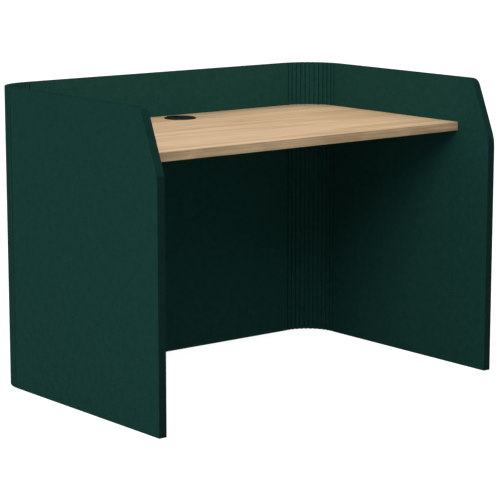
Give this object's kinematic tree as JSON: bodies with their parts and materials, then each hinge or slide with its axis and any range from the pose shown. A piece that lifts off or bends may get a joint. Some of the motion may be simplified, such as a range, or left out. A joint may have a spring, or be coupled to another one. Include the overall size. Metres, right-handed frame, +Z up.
{
  "type": "study carrel",
  "caption": "Single study carrel: dark green felt-board screen with grooved rounded rear corners standing on the floor around a light oak desk with a cable grommet.",
  "frame": {"origin": "on the floor, under the centre of the carrel's bounding box", "axes": "+X to the seated user's right, along the desk's width; +Y towards the back board; +Z up"},
  "size_m": [1.2, 0.8, 0.85],
  "materials": {
    "felt": "dense pressed PET felt board, dark green, matt",
    "tongue": "birch plywood strip",
    "desk_board": "raw particleboard",
    "oak_laminate": "light oak wood-grain laminate, satin",
    "backing_laminate": "plain off-white balancing laminate",
    "edge_band": "light oak pattern ABS edge band",
    "rail_steel": "black powder coat, fine texture",
    "zinc_fixings": "zinc plated",
    "grommet_plastic": "black moulded ABS, satin",
    "foot_plastic": "black nylon"
  },
  "bodies": {
    "carrel": {"left_side_board": "felt", "left_rear_corner": "felt", "left_side_tongue": "tongue", "left_back_tongue": "tongue", "left_support_rail": "rail_steel", "right_side_board": "felt", "right_rear_corner": "felt", "right_side_tongue": "tongue", "right_back_tongue": "tongue", "right_support_rail": "rail_steel", "back_board": "felt", "back_support_rail": "rail_steel", "desk_core": "desk_board", "desk_top_laminate": "oak_laminate", "desk_backing_laminate": "backing_laminate", "desk_front_band": "edge_band", "desk_rear_band": "edge_band", "rail_bolts": "zinc_fixings", "rail_bolt_inserts": "zinc_fixings", "desk_screws": "zinc_fixings", "foot_inserts": "zinc_fixings", "grommet_liner": "grommet_plastic"},
    "cap": {"grommet_cap": "grommet_plastic", "shutter_pivot": "zinc_fixings"},
    "shutter": {"grommet_shutter": "grommet_plastic"},
    "foot_left_front": {"foot_pad_left_front": "foot_plastic", "foot_stem_left_front": "zinc_fixings"},
    "foot_left_rear": {"foot_pad_left_rear": "foot_plastic", "foot_stem_left_rear": "zinc_fixings"},
    "foot_back_left": {"foot_pad_back_left": "foot_plastic", "foot_stem_back_left": "zinc_fixings"},
    "foot_right_front": {"foot_pad_right_front": "foot_plastic", "foot_stem_right_front": "zinc_fixings"},
    "foot_right_rear": {"foot_pad_right_rear": "foot_plastic", "foot_stem_right_rear": "zinc_fixings"},
    "foot_back_right": {"foot_pad_back_right": "foot_plastic", "foot_stem_back_right": "zinc_fixings"}
  },
  "joints": [
    {"name": "cap_lift", "type": "slide", "parent": "carrel", "child": "cap", "axis": [0, 0, 1], "range_m": [0, 0.05]},
    {"name": "shutter_turn", "type": "hinge", "parent": "cap", "child": "shutter", "pos_m": [0, 0.304, 0.72], "axis": [0, 0, 1], "range_deg": [0, 90]},
    {"name": "foot_left_front_level", "type": "slide", "parent": "carrel", "child": "foot_left_front", "axis": [0, 0, -1], "range_m": [0, 0.01]},
    {"name": "foot_left_rear_level", "type": "slide", "parent": "carrel", "child": "foot_left_rear", "axis": [0, 0, -1], "range_m": [0, 0.01]},
    {"name": "foot_back_left_level", "type": "slide", "parent": "carrel", "child": "foot_back_left", "axis": [0, 0, -1], "range_m": [0, 0.01]},
    {"name": "foot_right_front_level", "type": "slide", "parent": "carrel", "child": "foot_right_front", "axis": [0, 0, -1], "range_m": [0, 0.01]},
    {"name": "foot_right_rear_level", "type": "slide", "parent": "carrel", "child": "foot_right_rear", "axis": [0, 0, -1], "range_m": [0, 0.01]},
    {"name": "foot_back_right_level", "type": "slide", "parent": "carrel", "child": "foot_back_right", "axis": [0, 0, -1], "range_m": [0, 0.01]}
  ]
}
